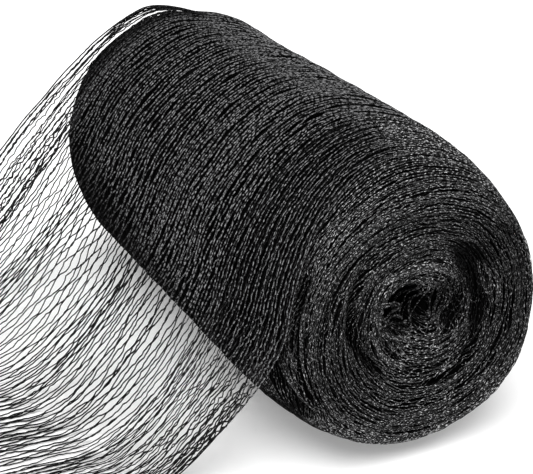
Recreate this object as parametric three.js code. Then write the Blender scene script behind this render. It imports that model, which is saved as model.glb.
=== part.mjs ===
// A wound roll of knitted black pond netting with its loose end drawn off to one side.
// Millimetres, +Z up. The roll's axis runs along X, its open swirl faces +X, and the loose
// end leaves towards -Y. The origin is the middle of the small flat spot that the roll lies on.
import * as THREE from 'three';

// Wound form
const ROLL_LENGTH = 344;
const NEAR_RADIUS = 80;
const FAR_RADIUS = 88.5;
const FOOT_SINK = 1.6; // how far the round section is pressed flat by its own weight
const COLUMNS = 36; // facets around the roll

// Each end has a rounded shoulder, then a face that dips at a ring-shaped crease and at the middle.
// length and drop are the shoulder's size along and towards the axis, winding is the sense of its spiral.
const ENDS = {
  near: { length: 75, drop: 17.8, winding: 1, shoulderRows: 13, faceRows: 19 },
  far: { length: 58.5, drop: 21, winding: -1, shoulderRows: 8, faceRows: 9 },
};

// The far face is plain: crease and hollow are depths, radius and middle the distances they lie at
const FAR_FACE = { crease: 5, radius: 38, width: 7, hollow: 9, middle: 15 };

// The near face's crease: at each angle, in degrees, its distance from the axis, depth and half width
const NEAR_CREASE = [
  { angle: 20, radius: 35.5, depth: 9, width: 7 },
  { angle: 45, radius: 38, depth: 9, width: 8 },
  { angle: 64, radius: 38.5, depth: 5, width: 5.5 },
  { angle: 85, radius: 41, depth: 0.8, width: 4 },
  { angle: 110, radius: 46, depth: 0.5, width: 4 },
  { angle: 131, radius: 48, depth: 3, width: 4 },
  { angle: 150, radius: 45, depth: 4.5, width: 4 },
  { angle: 168, radius: 41, depth: 5, width: 4 },
  { angle: 183, radius: 38.7, depth: 5.5, width: 4 },
  { angle: 200, radius: 34.5, depth: 5.5, width: 4 },
  { angle: 222, radius: 33, depth: 5, width: 4 },
  { angle: 248, radius: 34, depth: 1.5, width: 4 },
  { angle: 275, radius: 34.7, depth: 5, width: 4 },
  { angle: 305, radius: 36, depth: 7, width: 4 },
  { angle: 330, radius: 34, depth: 4, width: 4 },
  { angle: 352, radius: 33.5, depth: 7, width: 5.5 },
];

// Its hollow, in two lobes: place from the axis, half sizes and depth
const NEAR_HOLLOWS = [
  { y: -9, z: 7, wide: 11, high: 12, depth: 22 },
  { y: 14, z: 6.5, wide: 8.5, high: 12, depth: 12 },
];

// Where the turns stand out from the plain taper: angle and half width in degrees, x, half length, height
const BULGES = [
  { angle: 45, wide: 55, x: 10, long: 150, height: 2.2 },
  { angle: 66, wide: 30, x: -145, long: 45, height: 3.6 },
  { angle: 112, wide: 26, x: -160, long: 30, height: 2 },
  { angle: 40, wide: 38, x: 155, long: 26, height: 2 },
];

// Turns of bunched strands stand proud of the furrows between them
const RIDGE_PITCH = 13;
const FURROW_DEPTH = 2.2;
const SWIRL_PITCH = 17; // spacing of the spiral folds on the end faces
const SWIRL_HEIGHT = 1.2;
const SWIRL_FADE = { from: 8, to: 22 }; // distance from the axis over which the folds rise
const FOOT_FADE = { from: 0.17, to: 0.4 }; // angle from the foot over which the furrows deepen
const FURROW_WANDER = 31; // mm along the roll over which a furrow's depth changes

// Loose end
const SHEET_THICKNESS = 1.6;
const SHEET_LENGTH = 356;
const SHEET_CLEARANCE = 2.2; // between the roll and the middle of the sheet that lies on it
const START_ANGLE = THREE.MathUtils.degToRad(78);
const FLOOR_LEVEL = SHEET_THICKNESS / 2;

// Edges of the loose end. start, side and floor are the x where it begins, parts from the roll and
// meets the floor; leave is the angle about the axis where it parts from the roll, land the y where
// it meets the floor, pull and ease the reach of the curve's two handles, lift the height over the roll.
const EDGES = {
  far: { start: -160, side: -146, floor: -150, leave: 125, land: -236, pull: 80, ease: 58, lift: 11 },
  near: { start: 146, side: 166, floor: 143, leave: 166, land: -138, pull: 44, ease: 28, lift: 2 },
};
const LEAVE_BULGE = 22; // degrees by which the net next to the far edge parts from the roll later than the edge
const LEAVE_SHARE = 0.22; // share of the width over which that grows
const LIFT_SHARE = 0.25; // share of the width over which the lifted far edge settles on the roll
const RISE_SHARE = 0.55; // share of the stretch on the roll over which the far edge lifts
const WRAP_STEPS = 8; // points of the stretch that follows the roll

// Net: knots on a diamond grid, one drawn cell for two of the real ones each way
const CELL_WIDTH = 17;
const CELL_LENGTH = 41;
const STRAND_WIDTH = 2.1;
const CELLS_ACROSS = 17;
const CELLS_ALONG = 9;
const SELVEDGE = 3.2;
const CUT_EDGE = 5;
const GATHER = 0.07; // how much closer the strands lie at the near edge
const BUNCHING = 0.011;
const FOLD_HEIGHT = 3.2;
const FOLDS_ACROSS = 3.3;
const FOLD_PHASE = 0.8;

const smooth = (value, low, high) => THREE.MathUtils.smoothstep(value, low, high);
const mix = THREE.MathUtils.lerp;

// An uneven value between 0 and 1 for a counted row, the same on every run
const GOLDEN = (Math.sqrt(5) - 1) / 2;
const uneven = (row) => (row * row * GOLDEN + row * Math.SQRT2) % 1;

// Radius of the wound body at x, before its shoulders
const bodyRadius = (x) => mix(FAR_RADIUS, NEAR_RADIUS, x / ROLL_LENGTH + 0.5);

const axisHeight = (x) => bodyRadius(x) - FOOT_SINK;

// Radius of the roll at x with its quarter-ellipse shoulders
function rollRadius(x) {
  const end = x > 0 ? ENDS.near : ENDS.far;
  const past = (Math.abs(x) - ROLL_LENGTH / 2 + end.length) / end.length;
  if (past <= 0) return bodyRadius(x);
  return bodyRadius(x) - end.drop * (1 - Math.sqrt(Math.max(0, 1 - past * past)));
}

const sum = (values) => values.reduce((total, value) => total + value, 0);

const wholeTurn = (degrees) => ((degrees % 360) + 360) % 360;

// Height of the swellings at x and an angle about the axis, each bell-shaped
function bulge(x, angle) {
  return sum(BULGES.map((row) => {
    const off = wholeTurn(THREE.MathUtils.radToDeg(angle) - row.angle + 180) - 180;
    return row.height * Math.exp(-((off / row.wide) ** 2) - ((x - row.x) / row.long) ** 2);
  }));
}

// A column of a table round the axis, read straight between its rows
function readRound(rows, name, angle) {
  const degrees = wholeTurn(THREE.MathUtils.radToDeg(angle));
  const next = Math.max(0, rows.findIndex((row) => row.angle > degrees));
  const after = rows[next];
  const before = rows[(next || rows.length) - 1];
  const share = wholeTurn(degrees - before.angle) / wholeTurn(after.angle - before.angle);
  return mix(before[name], after[name], share);
}

// Depth of the near face: a trough along the crease's line, and a steep-walled lobe for each hollow
function nearDepth(radius, angle) {
  const [line, depth, width] = ['radius', 'depth', 'width'].map((name) => readRound(NEAR_CREASE, name, angle));
  const crease = depth * Math.exp(-(((radius - line) / width) ** 2));
  const lobes = NEAR_HOLLOWS.map(({ y, z, wide, high, depth: hollow }) => {
    const away = ((radius * Math.cos(angle) - y) / wide) ** 2 + ((radius * Math.sin(angle) - z) / high) ** 2;
    return hollow * Math.exp(-(away ** 2));
  });
  return crease + sum(lobes);
}

function farDepth(radius) {
  const crease = FAR_FACE.crease * Math.exp(-(((radius - FAR_FACE.radius) / FAR_FACE.width) ** 2));
  return crease + FAR_FACE.hollow * Math.exp(-((radius / FAR_FACE.middle) ** 2));
}

// Depth of an end's face below its front plane, less the height of its spiral folds
function faceDepth(end, radius, angle) {
  const depth = end === ENDS.near ? nearDepth(radius, angle) : farDepth(radius);
  const turns = radius / SWIRL_PITCH - (end.winding * angle) / (2 * Math.PI);
  const fade = smooth(radius, SWIRL_FADE.from, SWIRL_FADE.to);
  return depth - SWIRL_HEIGHT * fade * Math.sin(2 * Math.PI * turns);
}

// Rows of the roll from the middle of the far face to the middle of the near one.
// Each row is a ring: x and radius, and how deep its furrow is or which face it lies on.
function rollRows() {
  const rows = [];
  const half = ROLL_LENGTH / 2;
  const far = ENDS.far;
  const near = ENDS.near;
  const farFace = rollRadius(-half);
  const nearFace = rollRadius(half);
  for (let k = 0; k < far.faceRows; k += 1) {
    rows.push({ x: -half, radius: (farFace * k) / far.faceRows, face: far });
  }
  for (let k = 0; k < far.shoulderRows; k += 1) {
    const turn = (k / far.shoulderRows) * (Math.PI / 2);
    const x = -half + far.length * (1 - Math.cos(turn));
    rows.push({ x, radius: rollRadius(x), furrow: (k % 2) * uneven(k) });
  }
  const straight = ROLL_LENGTH - far.length - near.length;
  const ridges = Math.round(straight / RIDGE_PITCH);
  for (let k = 0; k < 2 * ridges; k += 1) {
    const shift = k === 0 ? 0 : mix(-0.3, 0.3, uneven(k + 7));
    const x = -half + far.length + (straight * (k + shift)) / (2 * ridges);
    rows.push({ x, radius: rollRadius(x), furrow: (k % 2) * mix(0.4, 1, uneven(k)) });
  }
  for (let k = 0; k <= near.shoulderRows; k += 1) {
    const turn = (k / near.shoulderRows) * (Math.PI / 2);
    const x = half - near.length * (1 - Math.sin(turn));
    rows.push({ x, radius: rollRadius(x), furrow: (k % 2) * mix(0.4, 1, uneven(k + 3)) });
  }
  for (let k = near.faceRows - 1; k >= 0; k -= 1) {
    rows.push({ x: half, radius: (nearFace * k) / near.faceRows, face: near });
  }
  return rows;
}

// A point of the roll: the ring's circle, less its furrow or its face's depth, pressed flat at the floor
function rollPoint(row, angle) {
  const side = Math.sign(row.x);
  let { x, radius } = row;
  if (row.face) {
    x -= side * faceDepth(row.face, radius, angle);
  } else {
    const fromFoot = Math.acos(-Math.sin(angle));
    const clearOfFoot = smooth(fromFoot, FOOT_FADE.from, FOOT_FADE.to);
    const wander = 0.7 + 0.3 * Math.sin(2 * angle + row.x / FURROW_WANDER);
    radius += bulge(x, angle) - FURROW_DEPTH * row.furrow * clearOfFoot * wander;
  }
  const y = radius * Math.cos(angle);
  const z = axisHeight(row.x) + radius * Math.sin(angle);
  return new THREE.Vector3(x, y, Math.max(0, z));
}

// A closed surface of rings, its first and last ring drawn together to a point
function ringSolid(rows, columns, pointAt) {
  const points = [pointAt(rows[0], 0)];
  const inner = rows.slice(1, -1);
  for (const row of inner) {
    for (let j = 0; j < columns; j += 1) points.push(pointAt(row, (2 * Math.PI * j) / columns));
  }
  points.push(pointAt(rows[rows.length - 1], 0));
  const last = points.length - 1;
  const at = (i, j) => 1 + i * columns + (j % columns);
  const triangles = [];
  for (let j = 0; j < columns; j += 1) {
    triangles.push([0, at(0, j + 1), at(0, j)]);
    for (let i = 0; i < inner.length - 1; i += 1) {
      triangles.push([at(i, j), at(i, j + 1), at(i + 1, j + 1)], [at(i, j), at(i + 1, j + 1), at(i + 1, j)]);
    }
    triangles.push([last, at(inner.length - 1, j), at(inner.length - 1, j + 1)]);
  }
  return solid(points, triangles);
}

function solid(points, triangles) {
  const geometry = new THREE.BufferGeometry();
  geometry.setFromPoints(points);
  geometry.setIndex(triangles.flat());
  geometry.computeVertexNormals();
  return geometry;
}

// The way one strand of the loose end takes in its own upright plane, as (y, z): round the roll,
// off it in a hanging curve, and straight along the floor. across is 0 at the far edge, 1 at the near one.
function strandPath(across) {
  const blend = (name) => mix(EDGES.far[name], EDGES.near[name], across);
  const settle = 1 - smooth(across, 0, LIFT_SHARE);
  const later = LEAVE_BULGE * smooth(across, 0, LEAVE_SHARE) * (1 - across);
  const leave = THREE.MathUtils.degToRad(blend('leave') + later);
  const wrapped = [];
  for (let k = 0; k <= WRAP_STEPS; k += 1) {
    const share = k / WRAP_STEPS;
    const angle = mix(START_ANGLE, leave, share);
    const x = mix(blend('start'), blend('side'), smooth(share, 0, 1));
    const lift = mix(EDGES.near.lift, EDGES.far.lift, settle * smooth(share, 0, RISE_SHARE));
    const radius = rollRadius(x) + bulge(x, angle) + SHEET_CLEARANCE + lift;
    wrapped.push(new THREE.Vector2(radius * Math.cos(angle), axisHeight(x) + radius * Math.sin(angle)));
  }
  const away = wrapped[WRAP_STEPS];
  const pull = blend('pull');
  const land = blend('land');
  const path = new THREE.Path();
  path.moveTo(wrapped[0].x, wrapped[0].y);
  path.splineThru(wrapped.slice(1));
  path.bezierCurveTo(
    away.x - pull * Math.sin(leave),
    away.y + pull * Math.cos(leave),
    land + blend('ease'),
    FLOOR_LEVEL,
    land,
    FLOOR_LEVEL,
  );
  path.lineTo(land - (SHEET_LENGTH - path.getLength()), FLOOR_LEVEL);
  return path;
}

// A point of the loose end's middle surface; along is the share of its length from the roll to the cut
function sheetPoint(across, along) {
  const path = strandPath(across);
  const [parts, lands] = path.getCurveLengths().map((length) => length / SHEET_LENGTH);
  const flat = path.getPointAt(along);
  const bow = smooth(along, 0, parts);
  const fall = smooth(along, parts, lands);
  const place = (edge) => mix(mix(edge.start, edge.side, bow), edge.floor, fall);
  const hanging = 4 * fall * (1 - fall);
  const wave = 1 + Math.sin(2 * Math.PI * FOLDS_ACROSS * across + FOLD_PHASE);
  const x = mix(place(EDGES.far), place(EDGES.near), across);
  return new THREE.Vector3(x, flat.x, flat.y + FOLD_HEIGHT * hanging * wave);
}

// Knots stand closer at the near edge and bunch unevenly between the edges
function strandPlace(share, along) {
  const edge = Math.sin(Math.PI * share);
  const coarse = Math.sin(2 * Math.PI * (4.3 * share + 0.6 * along));
  const fine = Math.sin(2 * Math.PI * (7.1 * share - 0.4 * along));
  return share + GATHER * edge + BUNCHING * edge * (coarse + fine);
}

// The net as one open sheet of triangles: a diamond of strands round each gap, and solid half
// diamonds along its edges. Each place is a share of the width and of the length.
function netSheet() {
  const across = 2 * CELLS_ACROSS;
  const along = 2 * CELLS_ALONG;
  const width = 2 * SELVEDGE + ((across - 2) * CELL_WIDTH) / 2;
  const length = 2 * CUT_EDGE + ((along - 2) * CELL_LENGTH) / 2;
  const step = (k, count, border, pitch, total) => {
    if (k === 0) return 0;
    if (k === count) return 1;
    return (border + (k - 1) * pitch) / total;
  };
  const placeOf = (i, j) => [
    step(i, across, SELVEDGE, CELL_WIDTH / 2, width),
    step(j, along, CUT_EDGE, CELL_LENGTH / 2, length),
  ];
  const places = [];
  const knots = new Map();
  const add = (place) => places.push(place) - 1;
  const knot = (i, j) => {
    const key = i * (along + 1) + j;
    if (!knots.has(key)) knots.set(key, add(placeOf(i, j)));
    return knots.get(key);
  };
  const slope = Math.atan2(CELL_WIDTH, CELL_LENGTH);
  const gap = 1 - STRAND_WIDTH / Math.cos(slope) / CELL_WIDTH;
  const triangles = [];
  for (let i = 0; i <= across; i += 1) {
    for (let j = (i + 1) % 2; j <= along; j += 2) {
      const around = [[i + 1, j], [i, j + 1], [i - 1, j], [i, j - 1]];
      const inside = around.filter(([a, b]) => a >= 0 && b >= 0 && a <= across && b <= along);
      const corners = inside.map(([a, b]) => knot(a, b));
      if (corners.length < 4) {
        triangles.push(corners);
      } else {
        const middle = placeOf(i, j);
        const rim = corners.map((c) => add(places[c].map((value, axis) => mix(middle[axis], value, gap))));
        corners.forEach((corner, k) => {
          const next = (k + 1) % 4;
          triangles.push([corner, corners[next], rim[next]], [corner, rim[next], rim[k]]);
        });
      }
    }
  }
  return { places, triangles };
}

// Gives an open sheet its thickness: both faces, and a wall along every edge that only one triangle has
function thickSheet({ places, triangles }) {
  const nudge = 1e-3;
  const surface = (share, along) => {
    const [a, b] = [share, along].map((value) => THREE.MathUtils.clamp(value, 0, 1));
    return sheetPoint(strandPlace(a, b), b);
  };
  const upper = [];
  const lower = [];
  for (const [share, along] of places) {
    const point = surface(share, along);
    const sideways = surface(share + nudge, along).sub(surface(share - nudge, along));
    const onward = surface(share, along + nudge).sub(surface(share, along - nudge));
    const out = onward.cross(sideways).normalize().multiplyScalar(SHEET_THICKNESS / 2);
    upper.push(point.clone().add(out));
    lower.push(point.clone().sub(out));
  }
  const count = places.length;
  const faces = [];
  const edges = new Set();
  for (const [a, b, c] of triangles) {
    faces.push([a, c, b], [a + count, b + count, c + count]);
    edges.add(`${a} ${b}`).add(`${b} ${c}`).add(`${c} ${a}`);
  }
  for (const edge of edges) {
    const [a, b] = edge.split(' ').map(Number);
    if (!edges.has(`${b} ${a}`)) faces.push([a, b, b + count], [a, b + count, a + count]);
  }
  return solid([...upper, ...lower], faces);
}

const netting = (roughness) => new THREE.MeshStandardMaterial({ color: 0x1c1c1d, roughness, metalness: 0 });

const netRoll = new THREE.Mesh(ringSolid(rollRows(), COLUMNS, rollPoint), netting(0.6));
netRoll.name = 'net_roll';

const netLooseEnd = new THREE.Mesh(thickSheet(netSheet()), netting(0.55));
netLooseEnd.name = 'net_loose_end';

const pondNetting = new THREE.Group();
pondNetting.add(netRoll, netLooseEnd);

export default pondNetting;
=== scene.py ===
"""The looks of a roll of black pond netting with its loose end, in metres, in the part's own frame.

The roll's axis runs along X, its open swirl faces +X, and the loose end leaves towards -Y. A place on the
roll is given by its way, which runs along the half section from the middle of the near face to the middle
of the far one, and by its angle about the axis, from +Y over the top. Every strand of the net is a tube
carried along its own path: wound round the body, coiled into the end faces, or drawn off the roll and laid
on the floor.
"""
import math

import bpy
import numpy as np
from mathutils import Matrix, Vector


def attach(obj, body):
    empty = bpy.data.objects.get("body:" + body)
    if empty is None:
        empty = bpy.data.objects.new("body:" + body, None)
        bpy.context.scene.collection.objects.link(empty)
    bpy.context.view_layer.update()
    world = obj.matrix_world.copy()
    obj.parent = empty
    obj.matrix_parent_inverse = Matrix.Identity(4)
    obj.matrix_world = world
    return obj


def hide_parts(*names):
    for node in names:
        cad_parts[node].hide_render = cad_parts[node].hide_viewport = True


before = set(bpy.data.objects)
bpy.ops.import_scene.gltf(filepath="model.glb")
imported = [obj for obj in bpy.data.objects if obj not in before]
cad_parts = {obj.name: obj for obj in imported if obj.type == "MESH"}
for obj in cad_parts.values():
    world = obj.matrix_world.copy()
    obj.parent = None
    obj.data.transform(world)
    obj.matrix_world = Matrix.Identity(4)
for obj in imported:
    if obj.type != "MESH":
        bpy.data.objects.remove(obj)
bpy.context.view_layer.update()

MM = 0.001
TURN = 2 * math.pi

# Camera: where it stands, which way it looks, and its lens
CAMERA_PLACE = (568.6 * MM, -270.6 * MM, 314.0 * MM)
CAMERA_AZIMUTH = math.radians(64.769)
CAMERA_ELEVATION = math.radians(22)
CAMERA_LENS = 74.3
SENSOR_WIDTH = 36

# Stage: half the floor's side, its own glow, the surround's strength, and the light from the sky
FLOOR_HALF = 6.0
FLOOR_GLOW = 0.26
SURROUND = 0.6
SKY = {"energy": 3.2, "spread": math.radians(40), "from": (0.4, -0.28, 0.87)}

# Wound form of the part's solids; its creases and bulges differ from theirs by a few millimetres in places
ROLL_LENGTH = 344 * MM
NEAR_RADIUS = 80 * MM
FAR_RADIUS = 88.5 * MM
FOOT_SINK = 1.6 * MM
NEAR_END = {"length": 75 * MM, "drop": 17.8 * MM}
FAR_END = {"length": 58.5 * MM, "drop": 21 * MM}
FAR_FACE = {"crease": 5 * MM, "radius": 38 * MM, "width": 7 * MM, "hollow": 9 * MM, "middle": 15 * MM}
FACE_FADE = {"past": 6 * MM, "inside": 4 * MM}

# Least heights over the floor, of a strand's path and of its surface
FLOOR_CLEAR = {"path": 0.2 * MM, "surface": 0.05 * MM}

# Spiral folds of the end faces: spacing, height, the distances from the axis over which they rise, and the
# share and phase of their second wave; then the middle of the near ones and the distances over which it moves
SWIRL = {"pitch": 17 * MM, "height": 1.2 * MM, "rise": (8 * MM, 22 * MM), "second": 0.4, "phase": 0.8}
SWIRL_MIDDLE = {"y": 1 * MM, "z": 6.5 * MM, "reach": (16 * MM, 52 * MM)}

# Crease round the near end: at each angle, in degrees, its distance from the axis, depth and half width in mm
NEAR_CREASE = [
    {"angle": 20, "radius": 35.5, "depth": 9, "width": 7},
    {"angle": 45, "radius": 38, "depth": 9, "width": 8},
    {"angle": 64, "radius": 38.5, "depth": 5, "width": 5.5},
    {"angle": 85, "radius": 41, "depth": 0.8, "width": 4},
    {"angle": 110, "radius": 46, "depth": 0.5, "width": 4},
    {"angle": 131, "radius": 48, "depth": 3, "width": 2.6},
    {"angle": 150, "radius": 45, "depth": 4.5, "width": 2.8},
    {"angle": 168, "radius": 41, "depth": 5, "width": 3},
    {"angle": 183, "radius": 38.7, "depth": 5.5, "width": 3.2},
    {"angle": 200, "radius": 34.5, "depth": 5.5, "width": 3},
    {"angle": 222, "radius": 33, "depth": 5, "width": 3},
    {"angle": 248, "radius": 34, "depth": 1.5, "width": 3},
    {"angle": 275, "radius": 34.7, "depth": 4, "width": 2},
    {"angle": 305, "radius": 36, "depth": 6.5, "width": 2},
    {"angle": 330, "radius": 34, "depth": 4, "width": 2.6},
    {"angle": 352, "radius": 33.5, "depth": 7, "width": 5.5},
]

# Hollow in the middle of the near end, in two lobes: place from the axis, half sizes and depth in mm
NEAR_HOLLOWS = [
    {"y": -9, "z": 7, "wide": 11, "high": 12, "depth": 22},
    {"y": 14, "z": 6.5, "wide": 8.5, "high": 12, "depth": 12},
]

# Small folds of the near end, listed one by one: each runs from (angle, way) to (angle, way), in degrees and
# mm, with its depth (a ridge where negative) and its half width
NEAR_FOLDS = [
    {"from": (144, 71), "to": (224, 68), "depth": 6, "width": 1.9},
    {"from": (170, 64.5), "to": (224, 63.5), "depth": 5.5, "width": 1.6},
    {"from": (180, 95), "to": (222, 77), "depth": 6, "width": 7},
    {"from": (174, 24), "to": (224, 14), "depth": 3, "width": 1.8},
    {"from": (345, 60), "to": (405, 61), "depth": 3.5, "width": 4.0},
    {"from": (112, 66), "to": (66, 43), "depth": -2.4, "width": 3.0},
    {"from": (82, 61), "to": (50, 63), "depth": -2.0, "width": 2.4},
    {"from": (70, 52), "to": (40, 64), "depth": -2.0, "width": 2.4},
]
FOLD_FADE = 0.3

# Where the wound turns stand out from the plain taper, or lie in: angle and half width in degrees, way, half
# length and height in mm
BULGES = [
    {"angle": 45, "wide": 55, "way": 230, "long": 150, "height": 2.2},
    {"angle": 66, "wide": 30, "way": 396, "long": 40, "height": 5},
    {"angle": 112, "wide": 26, "way": 400, "long": 30, "height": 2},
    {"angle": 20, "wide": 36, "way": 84, "long": 30, "height": -2},
    {"angle": 322, "wide": 26, "way": 78, "long": 34, "height": 2.5},
]

# Furrows between bunched turns: spacing, how much it wavers and over what way, phase and depth; then how far
# the furrows drift round the roll, and how the wide ones break off, by waves along the way and their levels
FURROWS = {
    "wide": {"pitch": 13 * MM, "waver": 1.6, "over": 47 * MM, "phase": 0, "depth": 1.8 * MM},
    "fine": {"pitch": 7.3 * MM, "waver": 1.1, "over": 31 * MM, "phase": 1, "depth": 0.5 * MM},
}
FURROW_DRIFT = {"slow": 1.6 * MM, "quick": 1 * MM, "over": 9 * MM}
FURROW_BREAKS = {"short": 5 * MM, "long": 11 * MM, "levels": (-0.8, 1.6), "near": 0.4, "fine": 0.5}

# Turns drawn along the roll by the loose end: how far, the angles in degrees between which they go and come
# back, and the way over which the pull fades past each rim
PULL = 12 * MM
PULL_ANGLES = {"from": 88, "to": 136, "back": 200, "home": 420}
PULL_FADE = 45 * MM

# Painted shade on the turns under the loose end and behind where it hangs: the angle in degrees that counting
# starts from, the angles from which and until which it darkens them, how much sooner that ends by the near
# rim, its near edge, past which the shade reaches a little as a painted shadow, and its far gap
FIRST_ANGLE = 60
NET_COVER_SHADE = {"from": 83, "full": 100, "until": 212, "clear": 238, "sooner": 32, "sooner_way": (20 * MM, 70 * MM)}
NET_COVER_SHADE_EDGE = {"top": 30 * MM, "low": 9 * MM, "angles": (90, 165), "inside": 5 * MM, "past": 6 * MM}
NET_COVER_SHADE_GAP = {"share": 0.05, "way": (8 * MM, 24 * MM)}

# Painted shade of yarn in folds, hollows and furrows: its amounts and the depths over which it comes
FOLD_SHADE = {"shade": 0.84, "depths": (1.2 * MM, 6 * MM)}
HOLLOW_SHADE = {"shade": 0.11, "depths": (9.5 * MM, 15 * MM)}
FURROW_DEPTHS = (0.5 * MM, 1.7 * MM)
FURROW_SHADE = {"roll": 0.55, "net": 0.22}

# Painted shade on sides of the near end: the middle of each in degrees, the cosines from its edge to its
# middle, and its shade; then painted shade on the underside of the near shoulder and on the far shoulder
DIM_SIDES = [
    {"angle": 8, "cosines": (0.45, 0.95), "shade": 0.52},
    {"angle": 86, "cosines": (0.4, 0.9), "shade": 0.16},
    {"angle": 186, "cosines": (0.6, 0.95), "shade": 0.36},
]
UNDERSIDE = {"from": (203, 217), "until": (310, 270), "way": (10 * MM, 28 * MM), "shade": 0.92}
FAR_SHOULDER = {"way": (-12 * MM, 22 * MM), "shade": 0.35}

# Threads that stand out on the near end, listed: from, by and to are places y, z from the axis in mm,
# each row a lock of so many threads spread that far to both sides, some of them held over a hollow
PLACED_THREADS = [
    {"from": (0.5, 20), "by": (0, 10), "to": (-5, -3), "count": 9, "spread": 2.2},
    {"from": (-8, 26), "by": (-2, 27), "to": (2.5, 23.5), "count": 4, "spread": 0.8},
    {"from": (2.5, 23.5), "by": (-1, 21), "to": (-6, 23.5), "count": 4, "spread": 0.8},
    {"from": (6, 18), "by": (11, 9), "to": (4, 1), "count": 6, "spread": 1.2},
    {"from": (10, 17), "by": (16, 6), "to": (8.5, -4), "count": 7, "spread": 1.4},
    {"from": (11.5, 19), "by": (19, 6), "to": (9.5, -6), "count": 7, "spread": 1.4},
    {"from": (-20.5, 8), "by": (-13, -3), "to": (-3, -4), "count": 7, "spread": 1.2},
    {"from": (-20, 11), "by": (-17, 9), "to": (-12, 9), "count": 5, "spread": 1},
    {"from": (-16, 17), "by": (-12, 18), "to": (-7, 16), "count": 6, "spread": 1.4},
    {"from": (-25, 14), "by": (-17, 13), "to": (-10, 8), "count": 3, "spread": 1.6, "held": 0.75},
    {"from": (-25, 7), "by": (-17, 6), "to": (-9, 7), "count": 3, "spread": 1.8, "held": 0.7},
    {"from": (-24, -1), "by": (-16, 2), "to": (-8, 0), "count": 3, "spread": 1.6, "held": 0.7},
    {"from": (-27, 10.5), "by": (-21, -3), "to": (-6, -8), "count": 9, "spread": 1.3},
    {"from": (-29.5, 1.5), "by": (-22, -13), "to": (-8, -23), "count": 9, "spread": 1.4},
    {"from": (-24.5, 24), "by": (-6, 29.5), "to": (12, 24), "count": 9, "spread": 1.3},
    {"from": (12, 24), "by": (18, 17), "to": (21, 8), "count": 8, "spread": 1.3},
    {"from": (30.5, 9.5), "by": (32, 2), "to": (35.5, 1.5), "count": 1, "spread": 0},
    {"from": (34, 24), "by": (36, 14), "to": (38, 5), "count": 5, "spread": 2.6},
    {"from": (39.5, 20), "by": (42, 10), "to": (42.5, 0), "count": 5, "spread": 2.6},
]

# Loose end: flat size, height over the turns, where it starts, how deep under them, and height on the floor
SHEET_LENGTH = 356 * MM
SETTLED = 0.9 * MM
START_ANGLE = math.radians(78)
START_SINK = 1.5 * MM
FLOOR_LEVEL = 0.8 * MM

# Edges of the loose end, as in the part's solids but for the far one's start: x at the start, where they part
# from the roll and on the floor, the angle in degrees where they part, y where they land, the handles of the
# curve between, and how far they stand off the turns
FAR_EDGE = {
    "start": -153 * MM, "side": -146 * MM, "floor": -150 * MM, "leave": 125,
    "land": -236 * MM, "pull": 80 * MM, "ease": 58 * MM, "lift": 10 * MM,
}
NEAR_EDGE = {
    "start": 146 * MM, "side": 166 * MM, "floor": 143 * MM, "leave": 170,
    "land": -138 * MM, "pull": 44 * MM, "ease": 28 * MM, "lift": 2 * MM,
}

# Between the edges: how much later the middle parts from the roll, the share of the width that stands off it,
# the shares of the wrap over which the start rises, the soft folds of the fall, and the steps of each stretch
LEAVE_BULGE = {"angle": 22, "share": 0.22}
LIFT_SHARE = 0.25
RISE_SHARE = {"far": 0.6, "near": 0.35}
FOLD_HEIGHT = 3.2 * MM
FOLDS_ACROSS = 3.3
FOLD_PHASE = 0.8
PART_STEPS = 80

# Threads over the sheet, in shares of its width and length: how they gather, bunch and stand by each edge,
# the cells that are drawn open, and how the threads lean over the roll's top and where they leave it
SELVEDGE = 0.08
GATHER = 0.07
BUNCHING = 0.0025
EDGE_SHIFT = {"near": 0.3, "far": 0.8}
OPEN_CELLS = {"across": 0.3, "along": 0.5, "wide": 0.2, "long": 0.16}
OPEN_SPREAD = {"size": 0.011, "wide": 0.55}
OFF_ROLL = (0.3, 0.5)
LEAVES = {"far": 0.27, "near": 0.375, "before": 0.13, "after": 0.07}
LEAN = {"top": 0.02, "top_until": 0.16, "low": 0.036, "home": (0.5, 0.8)}

# Net: length of a cell, spans over its width, the share of it where the near selvedge lies double, steps
# along each thread and its radius; then the strays by the far edge and how unevenly they lie
CELL_LENGTH = 20 * MM
NET = {"spans": 104, "double": 0.2, "steps": 175, "radius": 0.53 * MM}
NET_STRAYS = {"count": 13, "shares": (0.008, 0.11), "uneven": 0.002}
NET_SIDES = 4

# Unevenness of the net's threads: waves along the sheet by their count, in spans, or in metres for their
# rise; then the zigzag's lag and the bunches, by a wide and a narrow wave, and the crinkle by its place
NET_SLOW = {1.3: 0.25, 2.9: 0.2}
NET_QUICK = {7.3: 0.13, 12.7: 0.1}
NET_RISE = {4.1: 0.35 * MM, 9.7: 0.2 * MM}
NET_CALM = 0.35
NET_LAG = {"wide": 0.5, "narrow": 0.4}
NET_BUNCH = {"wide": 0.0012, "narrow": 0.0008}
NET_ROUGH = {"plain": 0.09, "far": 0.08, "far_shares": (0.12, 0.04), "near": 0.05, "near_shares": (0.8, 0.95)}
ROUGH_ALONG = (0.3, 0.45)
NET_PAIRS = 0.06
KNOT_FLAT = 1.3
CELL_OPEN = {"roll": 0.3, "hanging": 0.42, "from": 0.28, "drawn": 0.65}

# Threads of the net on the roll: how far they follow the furrows and the doubled ones sink, what a knot adds
# to their radius and some places take from it, and their painted shades on the roll's far part, on its far
# shoulder and where they are painted dark; then the shares of length and width between which they are painted
# lit
FOLLOW = 0.6
TWIN_SINK = 0.9 * MM
NET_THICK = {"knot": 0.1, "roll": 0.15, "roll_shares": (0.1, 0.2), "near": 0.3, "near_shares": (0.7, 0.85)}
NET_FAR = {"shade": 0.23, "way": (-70 * MM, -10 * MM)}
NET_SHOULDER = {"shades": (0.1, 0.85), "way": (2 * MM, 18 * MM)}
NET_PAINTED_DARK = 0.9
NET_LIT = {"until": (0.32, 0.42), "later": 0.12, "shares": (0.04, 0.1)}

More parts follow.
